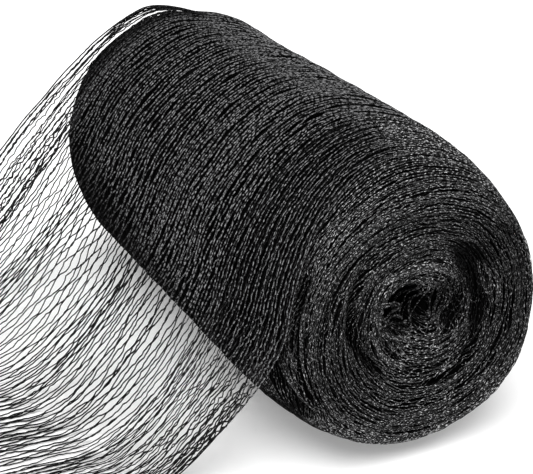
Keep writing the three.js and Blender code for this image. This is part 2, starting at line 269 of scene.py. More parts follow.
# Yarn: length of a twist, height of a strand over its width, and twists between the patterns of neighbours
TWIST_PITCH = 3.0 * MM
FLATTEN = 0.85
TWIST_SHIFT = 7.31

# Finishes of the yarn: bare and pale colours, grains to a twist, and the noise's level up to which it is
# bare; then the stretch of the grains round it, their edge, faintest streak, share of the plies and gloss
BARE_BLACK = (0.002, 0.002, 0.0021)
# painted light: the pale colour is both the fibres' grain and a painted glint; the near face and shoulder
# copies have brighter painted glints, and the under layer's copy has them dimmed as painted shade
YARNS = {
    "wound_yarn": {"dark": BARE_BLACK, "light": (0.28, 0.28, 0.285), "fineness": 1.1, "bare": 0.4},
    "face_yarn": {"dark": BARE_BLACK, "light": (0.92, 0.92, 0.93), "fineness": 1.6, "bare": 0.505},
    "shoulder_yarn": {"dark": BARE_BLACK, "light": (0.92, 0.92, 0.93), "fineness": 1.5, "bare": 0.485},
    "shaded_under_yarn": {
        "dark": (0.0008, 0.0008, 0.0008), "light": (0.012, 0.012, 0.0122), "fineness": 0.7, "bare": 0.46,
    },
    "loose_yarn": {"dark": BARE_BLACK, "light": (0.272, 0.272, 0.277), "fineness": 1.5, "bare": 0.412},
}
GRAIN_AND_GLINT = {"around": 1.2, "step": 0.26, "faintest": 0.02, "plies": 0.25, "smoother": 0.2}

# Closed surface under the strands: its grid, how deep it lies, and the stretch of its pattern round and along
CORE = {"rows": 220, "columns": 128, "under": 2.3 * MM, "round": 0.3, "along": 2}

# Wound turns: waves round the roll by their count, the drift that neighbours share, the zigzag in shares of
# their spacing, other unevenness, and how far they keep away from the furrows
TURN_WANDER = {2: 0.2 * MM, 3: 0.15 * MM, 5: 0.15 * MM, 8: 0.12 * MM, 13: 0.15 * MM}
TURN_CRINKLE = {31: 0.16 * MM, 53: 0.12 * MM, 79: 0.1 * MM}
TURN_RISE = {3: 0.2 * MM, 7: 0.16 * MM, 11: 0.1 * MM}
TURN_DRIFT = {"slow": 1.5 * MM, "slow_over": 37 * MM, "quick": 0.8 * MM, "quick_over": 23 * MM}
TURN_ZIGZAG = {"size": 0.09, "lag": 3, "over": 61 * MM}
TURN_UNEVEN = {"place": 0.12, "thick": 0.12, "crinkle": 0.14 * MM, "depth": 0.35 * MM}
FURROW_BANKS = 0.5 * MM

# Coiled turns: start past the rim, inner ends, length of a step and unevenness; then waves by their count,
# the distances from the axis over which the wander comes, and how the starts tuck in
COIL = {"past": 3 * MM, "near": 14 * MM, "far": 6 * MM, "step": 2.3 * MM, "start": 0.3, "crinkle": 0.2 * MM}
COIL_WANDER = {1.7: 0.35 * MM, 3.3: 0.3 * MM, 5.9: 0.2 * MM}
COIL_CALM = (2 * MM, 20 * MM)
COIL_RISE = {3.1: 0.45 * MM, 7.7: 0.3 * MM}
COIL_TUCK = {"depth": 3 * MM, "share": 0.03}
LEAST_RADIAL = 1.5 * MM

# Stray threads and locks: steps along each, unevenness, and the least distance that a stray is bent about
STRAY = {
    "steps": 8, "sides": 3, "reach": (0.6, 1.4), "bow": 0.12, "dip": 1.3 * MM, "uneven": 0.5 * MM,
    "around": 6 * MM,
}
LOCK = {"steps": 22, "sway": 0.3, "dip": 1.5 * MM, "over": 0.8 * MM, "shade": 0.6}


def smooth(value, low, high):
    """Smoothstep: 0 at low, 1 at high, level at both."""
    share = np.clip((value - low) / (high - low), 0, 1)
    return share * share * (3 - 2 * share)


def mix(a, b, share):
    """From a to b by a share."""
    return a + (b - a) * share


# Camera first
def make_camera():
    """A camera turned about Z by its azimuth and tipped down by its elevation, with no shift."""
    data = bpy.data.cameras.new("camera")
    data.lens = CAMERA_LENS
    data.sensor_width = SENSOR_WIDTH
    camera = bpy.data.objects.new("camera", data)
    bpy.context.scene.collection.objects.link(camera)
    back = Vector((
        math.sin(CAMERA_AZIMUTH) * math.cos(CAMERA_ELEVATION),
        -math.cos(CAMERA_AZIMUTH) * math.cos(CAMERA_ELEVATION),
        math.sin(CAMERA_ELEVATION),
    ))
    camera.rotation_euler = (-back).to_track_quat("-Z", "Y").to_euler()
    camera.location = CAMERA_PLACE
    bpy.context.scene.camera = camera


# The roll's surface
def body_radius(x):
    """A straight taper from the far end's radius to the near end's."""
    return mix(FAR_RADIUS, NEAR_RADIUS, x / ROLL_LENGTH + 0.5)


def axis_height(x):
    """Height of the axis over the floor: the taper's radius, less what its foot sinks in."""
    return body_radius(x) - FOOT_SINK


def roll_radius(x):
    """The taper, less the drop of a quarter ellipse over each shoulder."""
    near = x > 0
    length = np.where(near, NEAR_END["length"], FAR_END["length"])
    drop = np.where(near, NEAR_END["drop"], FAR_END["drop"])
    share = np.clip((np.abs(x) - ROLL_LENGTH / 2 + length) / length, 0, 1)
    return body_radius(x) - drop * (1 - np.sqrt(1 - share**2))


def half_section(steps=200):
    """Half section of the roll from the middle of the near face to the middle of the far one.

    Gives the way along it, x, radius, and the outward normal's share along x and outwards. The normal is
    the section's direction turned by a quarter.
    """
    half = ROLL_LENGTH / 2
    quarter = np.linspace(0, np.pi / 2, steps)
    near_shoulder = half - NEAR_END["length"] * (1 - np.cos(quarter))
    far_shoulder = -half + FAR_END["length"] * (1 - np.cos(quarter[::-1]))
    x = np.concatenate([near_shoulder, far_shoulder])
    radius = roll_radius(x)
    inner = np.linspace(0, 1, steps, endpoint=False)
    x = np.concatenate([np.full(steps, half), x, np.full(steps, -half)])
    radius = np.concatenate([radius[0] * inner, radius, radius[-1] * inner[::-1]])
    step = np.hypot(np.diff(x), np.diff(radius))
    way = np.concatenate([[0], np.cumsum(step)])
    along_x, along_r = np.gradient(x, way), np.gradient(radius, way)
    return {"way": way, "x": x, "radius": radius, "out_x": along_r, "out_r": -along_x}


SECTION = half_section()


def way_at(x):
    """The way along the section of a place on the body, from its x."""
    return np.interp(-x, -SECTION["x"], SECTION["way"])


# Ways along the section: the rims of both faces are given from their own end
SECTION_WAY = SECTION["way"][-1]
NEAR_RIM = float(roll_radius(np.array(ROLL_LENGTH / 2)))
FAR_RIM = float(roll_radius(np.array(-ROLL_LENGTH / 2)))
NEAR_BODY = float(way_at(ROLL_LENGTH / 2 - NEAR_END["length"]))
FAR_BODY = float(way_at(FAR_END["length"] - ROLL_LENGTH / 2))


def past(way, start, stretch):
    """Share of a stretch, given from a start along the section, that a way has come through."""
    return smooth(way, start + stretch[0], start + stretch[1])


def section_at(way):
    """The section's x, radius and normal at a way along it."""
    return [np.interp(way, SECTION["way"], SECTION[key]) for key in ("x", "radius", "out_x", "out_r")]


def roll_point(way, angle, lift):
    """Point on the half section at a way along it, raised along its normal and turned by an angle about
    the axis; nothing goes below the floor."""
    x, radius, out_x, out_r = section_at(way)
    z_axis = axis_height(x)
    radius = radius + lift * out_r
    z = z_axis + radius * np.sin(angle)
    return np.stack([x + lift * out_x, radius * np.cos(angle), np.maximum(z, FLOOR_CLEAR["path"])], -1)


def hand_folds(way, angle):
    """Sum of the placed folds: a bell-shaped trough about a line in way and angle, faded at both ends."""
    depth = np.zeros(np.broadcast(way, angle).shape)
    for fold in NEAR_FOLDS:
        (start, way_start), (end, way_end) = fold["from"], fold["to"]
        middle = math.radians((start + end) / 2)
        half = math.radians(abs(end - start) / 2)
        off = (angle - middle + np.pi) % TURN - np.pi
        share = np.clip(off / half * np.sign(end - start) * 0.5 + 0.5, 0, 1)
        line = mix(way_start, way_end, share) * MM
        fade = smooth(half - np.abs(off), 0, FOLD_FADE * half)
        depth += fold["depth"] * MM * fade * np.exp(-(((way - line) / (fold["width"] * MM)) ** 2))
    return depth


def near_depth(radius, angle):
    """Depth of the near end's face: a bell-shaped trough about the crease's line, read from its table
    round the axis, and a steep-walled lobe for each hollow."""
    degrees = np.degrees(angle)
    angles = [row["angle"] for row in NEAR_CREASE]
    at = {
        key: np.interp(degrees, angles, [row[key] for row in NEAR_CREASE], period=360)
        for key in ("radius", "depth", "width")
    }
    depth = at["depth"] * MM * np.exp(-(((radius / MM - at["radius"]) / at["width"]) ** 2))
    y, z = radius * np.cos(angle) / MM, radius * np.sin(angle) / MM
    for lobe in NEAR_HOLLOWS:
        away = ((y - lobe["y"]) / lobe["wide"]) ** 2 + ((z - lobe["z"]) / lobe["high"]) ** 2
        depth = depth + lobe["depth"] * MM * np.exp(-(away**2))
    return depth


def far_depth(radius):
    """Depth of the far end's face: a round crease and a hollow, both bell-shaped."""
    crease = FAR_FACE["crease"] * np.exp(-(((radius - FAR_FACE["radius"]) / FAR_FACE["width"]) ** 2))
    return crease + FAR_FACE["hollow"] * np.exp(-((radius / FAR_FACE["middle"]) ** 2))


def swirl(radius, angle, winding):
    """Height of the spiral folds of an end face: a wave along the radius that turns with the angle, and its
    second wave, which fade towards the axis."""
    phase = TURN * radius / SWIRL["pitch"] - winding * angle
    wave = np.sin(phase) + SWIRL["second"] * np.sin(2 * phase + SWIRL["phase"])
    return SWIRL["height"] * smooth(radius, *SWIRL["rise"]) * wave


def bulges(way, angle):
    """Sum of bell-shaped swellings, each about its own angle and way."""
    height = np.zeros(np.broadcast(way, angle).shape)
    for bulge in BULGES:
        off = (np.degrees(angle) - bulge["angle"] + 180) % 360 - 180
        away = (off / bulge["wide"]) ** 2 + ((way / MM - bulge["way"]) / bulge["long"]) ** 2
        height += bulge["height"] * MM * np.exp(-away)
    return height


def from_angle(angle, first):
    """The angle in degrees, counted from a first one through a whole turn."""
    return (np.degrees(angle) - first) % 360 + first


def pulled(way, angle):
    """How far the turns are drawn towards the near end: none at the top, most where the loose end parts
    from the roll, and back again round the hidden side; none on the end faces."""
    turn = from_angle(angle, PULL_ANGLES["home"] - 360)
    drawn = smooth(turn, PULL_ANGLES["from"], PULL_ANGLES["to"])
    back = smooth(turn, PULL_ANGLES["back"], PULL_ANGLES["home"])
    on_body = past(way, NEAR_RIM, (0, PULL_FADE)) * past(SECTION_WAY - way, FAR_RIM, (0, PULL_FADE))
    return PULL * (drawn - back) * on_body


def furrow_phase(way, kind):
    """Phase of the furrows of a kind: it grows with the way and wavers, which makes their spacing uneven."""
    row = FURROWS[kind]
    return TURN * way / row["pitch"] + row["waver"] * np.sin(TURN * way / row["over"]) + row["phase"]


def furrows(way, angle):
    """Depth of the furrows between bunched turns: narrow valleys of two uneven spacings, each the cube of a
    wave's upper half. They drift with the angle, and slow waves break the wide ones off."""
    drift = way + pulled(way, angle) + FURROW_DRIFT["slow"] * np.sin(angle + 0.7)
    drift = drift + FURROW_DRIFT["quick"] * np.sin(3 * angle + way / FURROW_DRIFT["over"])
    broken = np.sin(5 * angle + drift / FURROW_BREAKS["short"])
    broken = broken + np.sin(3 * angle - drift / FURROW_BREAKS["long"] + 2)
    strength = smooth(broken, *FURROW_BREAKS["levels"])
    strength = strength * mix(FURROW_BREAKS["near"], 1, smooth(way, NEAR_BODY, FAR_BODY))
    wide = np.clip(np.cos(furrow_phase(drift, "wide")), 0, 1) ** 3 * strength
    fine = np.clip(np.cos(furrow_phase(drift, "fine")), 0, 1) ** 3 * (1 - FURROW_BREAKS["fine"] * strength)
    on_body = smooth(way, NEAR_RIM, NEAR_BODY) * smooth(way, SECTION_WAY, FAR_BODY)
    return (FURROWS["wide"]["depth"] * wide + FURROWS["fine"]["depth"] * fine) * on_body


def on_face(radial, rim):
    """Share of an end face: whole inside its rim, none a little past it."""
    return smooth(radial, rim + FACE_FADE["past"], rim - FACE_FADE["inside"])


def sunk(way, angle):
    """Depth of the folds: creases and hollows of the end faces, furrows of the body and the placed folds."""
    from_far = SECTION_WAY - way
    faces = near_depth(way, angle) * on_face(way, NEAR_RIM) + far_depth(from_far) * on_face(from_far, FAR_RIM)
    return faces + furrows(way, angle) + hand_folds(way, angle)


def relief(way, angle):
    """Height of the surface over the plain section: its swellings and the spiral folds of its ends, less the
    depth of its folds."""
    from_far = SECTION_WAY - way
    near = swirl(way, angle, 1) * on_face(way, NEAR_RIM)
    far = swirl(from_far, angle, -1) * on_face(from_far, FAR_RIM)
    return near + far + bulges(way, angle) - sunk(way, angle)


def shade_under_net(way, angle):
    """Share of the painted shade that the loose end casts on the turns: whole under it and where it hangs
    before the roll, a little past its near edge, a little less on the far shoulder, none elsewhere."""
    turn = from_angle(angle, FIRST_ANGLE)
    under = smooth(turn, NET_COVER_SHADE["from"], NET_COVER_SHADE["full"])
    sooner = NET_COVER_SHADE["sooner"] * (1 - past(way, NEAR_RIM, NET_COVER_SHADE["sooner_way"]))
    clear = smooth(turn, NET_COVER_SHADE["until"] - sooner, NET_COVER_SHADE["clear"] - sooner)
    edge = NEAR_RIM + mix(NET_COVER_SHADE_EDGE["top"], NET_COVER_SHADE_EDGE["low"], smooth(turn, *NET_COVER_SHADE_EDGE["angles"]))
    inside = smooth(way, edge - NET_COVER_SHADE_EDGE["inside"], edge + NET_COVER_SHADE_EDGE["past"])
    return (under - clear) * inside * (1 - NET_COVER_SHADE_GAP["share"] * past(way, FAR_BODY, NET_COVER_SHADE_GAP["way"]))


# Meshes
def make_piece(name, points, faces, uv, shade, finish):
    """An object at the origin: points (n, 3), arrays of faces of three or four corners, a uv for each corner,
    and the painted shade of each point, from 0 in the open to 1 deep in a fold."""
    mesh = bpy.data.meshes.new(name)
    mesh.vertices.add(len(points))
    mesh.vertices.foreach_set("co", points.astype(np.float32).ravel())
    corners = np.concatenate([part.ravel() for part in faces])
    sizes = np.concatenate([np.full(len(part), part.shape[1]) for part in faces])
    starts = np.concatenate([[0], np.cumsum(sizes)[:-1]])
    mesh.loops.add(len(corners))
    mesh.loops.foreach_set("vertex_index", corners.astype(np.int32))
    mesh.polygons.add(len(sizes))
    mesh.polygons.foreach_set("loop_start", starts.astype(np.int32))
    mesh.polygons.foreach_set("use_smooth", np.ones(len(sizes), bool))
    layer = mesh.uv_layers.new(name="yarn")
    uv = np.concatenate([part.reshape(-1, 2) for part in uv])
    layer.data.foreach_set("uv", uv.astype(np.float32).ravel())
    # the shade attribute is painted shade, which darkens the yarn's colour
    mesh.attributes.new("shade", "FLOAT", "POINT").data.foreach_set("value", shade.astype(np.float32).ravel())
    mesh.update(calc_edges=True)
    mesh.validate()
    mesh.materials.append(finish)
    piece = bpy.data.objects.new(name, mesh)
    bpy.context.scene.collection.objects.link(piece)
    return piece


def unit(vectors):
    """Vectors divided by their lengths."""
    return vectors / np.maximum(np.linalg.norm(vectors, axis=-1, keepdims=True), 1e-9)


def strands(paths, out, radius, closed, sides):
    """Tubes carried along many paths at once.

    paths is (strands, steps, 3) and out a rough outward direction of the same shape. Each ring has its
    corners about the path in the plane across it, flattened along the outward direction. Gives points, faces
    and uvs, with u the length in twists, shifted for each strand, and v the share of the way round.
    """
    count, steps, _ = paths.shape
    if closed:
        onward = np.roll(paths, -1, 1) - np.roll(paths, 1, 1)
    else:
        onward = np.gradient(paths, axis=1)
    onward = unit(onward)
    side = unit(np.cross(onward, out))
    up = np.cross(side, onward)
    around = np.arange(sides) * TURN / sides
    radius = np.broadcast_to(radius, (count, steps))[..., None, None]
    ring = FLATTEN * np.cos(around)[:, None] * up[:, :, None] + np.sin(around)[:, None] * -side[:, :, None]
    points = paths[:, :, None] + radius * ring
    points[..., 2] = np.maximum(points[..., 2], FLOOR_CLEAR["surface"])
    spans = steps if closed else steps - 1
    strand, step, corner = np.meshgrid(np.arange(count), np.arange(spans), np.arange(sides), indexing="ij")
    here, after = (strand * steps + step) * sides, (strand * steps + (step + 1) % steps) * sides
    beside = (corner + 1) % sides
    quads = np.stack([here + corner, here + beside, after + beside, after + corner], -1).reshape(-1, 4)
    gap = np.linalg.norm(np.diff(paths, axis=1, append=paths[:, :1]), axis=-1)
    length = np.concatenate([np.zeros((count, 1)), np.cumsum(gap, 1)], 1) / TWIST_PITCH
    u0 = np.take_along_axis(length, step[:, :, 0], 1)[:, :, None] + TWIST_SHIFT * strand
    u1 = np.take_along_axis(length, step[:, :, 0] + 1, 1)[:, :, None] + TWIST_SHIFT * strand
    v0, v1 = corner / sides, (corner + 1) / sides
    uv = np.stack([u0, v0, u0, v1, u1, v1, u1, v0], -1).reshape(-1, 4, 2)
    faces, uvs = [quads], [uv]
    if not closed:
        first = np.arange(count)[:, None] * steps * sides + np.arange(sides)[::-1]
        last = (np.arange(count)[:, None] * steps + steps - 1) * sides + np.arange(sides)
        for cap in (first, last):
            faces.append(cap)
            uvs.append(np.zeros((*cap.shape, 2)))
    return points.reshape(-1, 3), faces, uvs


def dress(piece, *nodes):
    """Every piece rides on the one body and stands for its solid, which it hides."""
    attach(piece, "root")
    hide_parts(*nodes)
    return piece


# Materials
class Wire:
    """An output socket in a material. Arithmetic between wires and numbers adds Math nodes."""

    def __init__(self, tree, output=None):
        self.tree = tree
        self.output = output

    def node(self, kind, settings=None, sockets=None, give=0):
        """Adds a node of a type, sets its settings first, then sets or links its sockets; gives an output."""
        made = self.tree.nodes.new(kind)
        for name, value in (settings or {}).items():
            setattr(made, name, value)
        for name, value in (sockets or {}).items():
            if isinstance(value, Wire):
                self.tree.links.new(value.output, made.inputs[name])
            else:
                made.inputs[name].default_value = value
        return Wire(self.tree, made.outputs[give] if made.outputs else None)

    def math(self, operation, *values):
        """Adds a Math node on wires or numbers."""
        return self.node("ShaderNodeMath", {"operation": operation}, dict(enumerate(values)))

    def __add__(self, other):
        return self.math("ADD", self, other)

    def __sub__(self, other):
        return self.math("SUBTRACT", self, other)

    def __rsub__(self, other):
        return self.math("SUBTRACT", other, self)

    def __mul__(self, other):
        return self.math("MULTIPLY", self, other)

    __radd__ = __add__
    __rmul__ = __mul__

    def sine(self):
        return self.math("SINE", self)

    def step(self, low, high):
        """Smoothstep of this value from low to high."""
        return self.node(
            "ShaderNodeMapRange", {"interpolation_type": "SMOOTHSTEP"},
            {"Value": self, "From Min": low, "From Max": high},
        )


def new_material(name):
    """A material with an empty tree, and a wire that starts it."""
    material = bpy.data.materials.new(name)
    material.use_nodes = True
    material.node_tree.nodes.clear()
    return material, Wire(material.node_tree)


def set_surface(start, sockets):
    """Ends a material with one shader, its sockets set or linked."""
    shader = start.node("ShaderNodeBsdfPrincipled", None, sockets)
    start.node("ShaderNodeOutputMaterial", None, {"Surface": shader})


def fibres(start, place, detail, roughness):
    """Flat noise at a place on the strand's own uv."""
    return start.node("ShaderNodeTexNoise", {"noise_dimensions": "2D"}, {
        "Vector": place, "Scale": 1.0, "Detail": detail, "Roughness": roughness,
    })


def two_tone(start, factor, dark, light):
    """Colour from dark to light by a factor; sockets 6 and 7 and output 2 are the Mix node's colours."""
    return start.node("ShaderNodeMix", {"data_type": "RGBA"}, {
        "Factor": factor, 6: (*dark, 1), 7: (*light, 1),
    }, 2)


def yarn_finish(name, dark, light, fineness, bare):
    """Twisted black yarn on the strand's own uv: pale grains, both the fibres' grain and painted glints,
    where the fibres' noise is over the level bare, a little stronger on the plies that slant round it;
    painted shade from the shade attribute darkens yarn deep in a fold."""
    material, start = new_material(name)
    uv = start.node("ShaderNodeTexCoord", None, None, "UV")
    along = start.node("ShaderNodeSeparateXYZ", None, {0: uv}, "X")
    around = start.node("ShaderNodeSeparateXYZ", None, {0: uv}, "Y")
    shade = start.node("ShaderNodeAttribute", {"attribute_name": "shade"}, None, "Fac")
    place = start.node("ShaderNodeCombineXYZ", None, {"X": along * fineness, "Y": around * GRAIN_AND_GLINT["around"]})
    fibre = fibres(start, place, 2.0, 0.75)
    ply = ((along + around) * TURN).sine() * 0.5 + 0.5
    grains_and_glints = GRAIN_AND_GLINT["faintest"] + (1 - GRAIN_AND_GLINT["faintest"]) * fibre.step(bare, bare + GRAIN_AND_GLINT["step"])
    streak = grains_and_glints * ((1 - GRAIN_AND_GLINT["plies"]) + GRAIN_AND_GLINT["plies"] * ply) * (1 - shade)
    height = ply * 0.7 + fibre * 0.6
    normal = start.node("ShaderNodeBump", None, {"Strength": 0.8, "Distance": 0.35 * MM, "Height": height})
    set_surface(start, {
        "Base Color": two_tone(start, streak, dark, light), "Roughness": 0.65 - GRAIN_AND_GLINT["smoother"] * streak,
        "Normal": normal, "Specular IOR Level": 0.03,
    })
    return material


def core_finish():
    """Yarn deep in the roll: nearly black, a little darker than the strands' bare black as painted shade of
    the gaps, rough, with faint strands along each turn.
    """
    material, start = new_material("deep_yarn")
    uv = start.node("ShaderNodeTexCoord", None, None, "UV")
    noise = fibres(start, uv, 4.0, 0.65)
    colour = two_tone(start, noise, (0.0004, 0.0004, 0.0004), (0.002, 0.002, 0.002))
    normal = start.node("ShaderNodeBump", None, {"Strength": 0.6, "Distance": 0.5 * MM, "Height": noise})
    set_surface(start, {"Base Color": colour, "Roughness": 0.9, "Normal": normal, "Specular IOR Level": 0.01})
    return material


# Pieces
def roll_core(finish):
    """The closed surface under the strands: the half section turned about the axis, lowered by the
    strands' depth, with its relief; each end is drawn to one point."""
    rows, columns, under = CORE["rows"], CORE["columns"], CORE["under"]
    way = np.linspace(0, SECTION_WAY, rows + 2)[1:-1, None]
    angle = np.arange(columns)[None] * TURN / columns
    grid = roll_point(way, angle, relief(way, angle) - under).reshape(-1, 3)
    ends = [
        roll_point(np.array(at), np.array(0.0), relief(np.array(at), np.array(0.0)) - under)
        for at in (0.0, SECTION_WAY)
    ]
    points = np.concatenate([grid, ends])
    row, column = np.meshgrid(np.arange(rows - 1), np.arange(columns), indexing="ij")
    beside = (column + 1) % columns
    quads = np.stack([
        row * columns + column, (row + 1) * columns + column,
        (row + 1) * columns + beside, row * columns + beside,
    ], -1).reshape(-1, 4)
    around, following = np.arange(columns), (np.arange(columns) + 1) % columns
    last = (rows - 1) * columns
    near_cap = np.stack([np.full(columns, len(grid)), around, following], -1)
    far_cap = np.stack([np.full(columns, len(grid) + 1), last + following, last + around], -1)
    u = np.stack([column, column, column + 1, column + 1], -1).reshape(-1, 4) * TURN / columns * NEAR_RADIUS
    v = np.stack([row, row + 1, row + 1, row], -1).reshape(-1, 4) * SECTION_WAY / rows
    uvs = [np.stack([u * CORE["round"], v * CORE["along"]], -1) / TWIST_PITCH]
    uvs += [np.zeros((columns, 3, 2)), np.zeros((columns, 3, 2))]
    piece = make_piece("roll_core", points, [quads, near_cap, far_cap], uvs, np.ones(len(points)), finish)
    return dress(piece, "net_roll")


def waves(angle, sizes, phases):
    """Sum of sines along an angle: each has its count of waves, its size and a phase for each strand."""
    return sum(
        size * np.sin(count * angle + phases[:, k : k + 1]) for k, (count, size) in enumerate(sizes.items())
    )


def lay(name, finish, way, angle, lift, radius, closed, shade, sides=4):
    """A piece of strands laid on the roll, each along its way and angle, at a lift over the plain section,
    with its painted shade.
    """
    path = roll_point(way, angle, lift)
    out = roll_point(way, angle, lift + MM) - path
    points, faces, uvs = strands(path, out, radius, closed, sides)
    shade = np.repeat(np.broadcast_to(shade, path.shape[:2]).ravel(), sides)
    return dress(make_piece(name, points, faces, uvs, shade, finish), "net_roll")


def fold_shade(way, angle):
    """Painted shade of yarn lying in a fold or in a furrow, deepest at their bottoms, and broadly over some
    sides of the near end, the underside of its shoulder and the far shoulder."""
    depth = sunk(way, angle)
    folds = sum(part["shade"] * smooth(depth, *part["depths"]) for part in (FOLD_SHADE, HOLLOW_SHADE))
    valleys = FURROW_SHADE["roll"] * smooth(furrows(way, angle), *FURROW_DEPTHS)
    turned = sum(
        side["shade"] * smooth(np.cos(angle - math.radians(side["angle"])), *side["cosines"])
        for side in DIM_SIDES
    )
    turned = turned * smooth(way, NEAR_BODY, NEAR_RIM)
    turn = from_angle(angle, FIRST_ANGLE)
    beneath = smooth(turn, *UNDERSIDE["from"]) * smooth(turn, *UNDERSIDE["until"])
    beneath = UNDERSIDE["shade"] * beneath * past(way, NEAR_RIM, UNDERSIDE["way"])
    beyond = FAR_SHOULDER["shade"] * past(way, FAR_BODY, FAR_SHOULDER["way"])
    return 1 - (1 - np.maximum(folds, valleys)) * (1 - turned) * (1 - beneath) * (1 - beyond)


def wound_turns(name, finish, first, last, pitch, radius, depth, steps, seed, sides=4):
    """Turns of yarn round the roll between two ways along its section.

    Turn i runs at its own way, moved by the loose end's pull, by a drift that all its neighbours share, by
    its own wander and crinkle, by the zigzag that meets the turn on each side, and away from the furrows.
    Its height is the relief, less its layer's depth, with a slow rise and fall that passes it over and
    under its neighbours.
    """
    rng = np.random.default_rng(seed)
    count = int(round((last - first) / pitch))
    place = first + (np.arange(count)[:, None] + 0.5) * (last - first) / count
    place = place + rng.normal(0, TURN_UNEVEN["place"], (count, 1)) * pitch
    angle = np.arange(steps)[None] * TURN / steps
    phases = rng.uniform(0, TURN, (count, 14))
    drift = TURN_DRIFT["slow"] * np.sin(angle + place / TURN_DRIFT["slow_over"])
    drift = drift + TURN_DRIFT["quick"] * np.sin(2 * angle - place / TURN_DRIFT["quick_over"] + 1)
    crinkle = waves(angle, TURN_CRINKLE, phases[:, 5:])
    crinkle = crinkle + rng.normal(0, TURN_UNEVEN["crinkle"], (count, steps))
    cells = round(TURN * NEAR_RADIUS / CELL_LENGTH)
    sign = np.where(np.arange(count) % 2, 1, -1)[:, None]
    lag = TURN_ZIGZAG["lag"] * np.sin(angle + place / TURN_ZIGZAG["over"])
    zigzag = sign * TURN_ZIGZAG["size"] * pitch * np.sin(cells * angle + lag)
    way = place - pulled(place, angle) + drift + waves(angle, TURN_WANDER, phases) + crinkle + zigzag
    way = way + FURROW_BANKS * np.sin(furrow_phase(way, "wide"))
    rise = waves(angle, TURN_RISE, phases[:, 8:])
    lift = relief(way, angle) - depth - rng.uniform(0, TURN_UNEVEN["depth"], (count, 1)) + rise
    thick = radius * (1 + TURN_UNEVEN["thick"] * np.sin(cells * angle * 2 + phases[:, 11:12]))
    # painted shade of the folds and of the loose end's cover, which darkens the yarn's colour
    shade = 1 - (1 - fold_shade(way, angle)) * (1 - shade_under_net(way, angle))
    return lay(name, finish, way, angle, lift, thick, True, shade, sides)


def about_hollow(radial, angle):
    """Way and angle on the near face of a place given about the middle of its swirl, which moves from the
    axis at the rim to the hollow inside."""
    inside = 1 - smooth(radial, *SWIRL_MIDDLE["reach"])
    y = radial * np.cos(angle) + SWIRL_MIDDLE["y"] * inside
    z = radial * np.sin(angle) + SWIRL_MIDDLE["z"] * inside
    return np.hypot(y, z), np.arctan2(z, y)


def swirl_turns(name, finish, near, pitch, radius, depth, seed):
    """Yarn coiled into an end face: spirals that start evenly round the rim, tucked under the shoulder, and
    come in by one fold's spacing each turn, each with its own wander, crinkle and height."""
    rng = np.random.default_rng(seed)
    rim = (NEAR_RIM if near else FAR_RIM) + COIL["past"]
    inner = COIL["near"] if near else COIL["far"]
    count = int(round(SWIRL["pitch"] / pitch))
    total = math.pi * (rim**2 - inner**2) / SWIRL["pitch"]
    steps = int(total / COIL["step"])
    share = np.linspace(0, 1, steps)[None]
    uneven = rng.uniform(-COIL["start"], COIL["start"], (count, 1))
    start = (np.arange(count)[:, None] + uneven) * TURN / count
    base = np.sqrt(rim**2 - (rim**2 - inner**2) * share)
    winding = 1 if near else -1
    angle = start - winding * TURN * (rim - base) / SWIRL["pitch"]
    phases = rng.uniform(0, TURN, (count, 8))
    wander = waves(angle, COIL_WANDER, phases) * smooth(base, *COIL_CALM)
    radial = np.maximum(base + wander + rng.normal(0, COIL["crinkle"], (count, steps)), LEAST_RADIAL)
    if near:
        way, angle = about_hollow(radial, angle)
    else:
        way = SECTION_WAY - radial
    rise = waves(angle, COIL_RISE, phases[:, 4:])
    tucked = COIL_TUCK["depth"] * (1 - smooth(share, 0, COIL_TUCK["share"]))
    lift = relief(way, angle) - depth + rise - tucked
    return lay(name, finish, way, angle, lift, radius, False, fold_shade(way, angle))


def stray_threads(name, finish, count, first, last, length, slant, radius, depth, seed):
    """Short lengths of yarn over the near end, spread evenly by area between two distances from the middle.

    Each heads round the axis, turned aside by its own slant, bows a little, and dips at both ends into the
    yarn below.
    """
    rng = np.random.default_rng(seed)
    middle = np.sqrt(rng.uniform(first**2, last**2, (count, 1)))
    turn = rng.uniform(0, TURN, (count, 1))
    heading = rng.normal(0, slant, (count, 1))
    reach = length * rng.uniform(*STRAY["reach"], (count, 1))
    bow = rng.normal(0, STRAY["bow"], (count, 1))
    share = np.linspace(-1, 1, STRAY["steps"])[None]
    aside = share * np.sin(heading) + bow * (share**2 - 0.5)
    radial = np.maximum(middle + reach / 2 * aside, LEAST_RADIAL)
    around = np.maximum(section_at(middle)[1], STRAY["around"])
    way, angle = about_hollow(radial, turn + reach / 2 * share * np.cos(heading) / around)
    uneven = rng.uniform(-STRAY["uneven"], STRAY["uneven"], (count, 1))
    lift = relief(way, angle) - depth - uneven - STRAY["dip"] * share**4
    return lay(name, finish, way, angle, lift, radius, False, fold_shade(way, angle), STRAY["sides"])


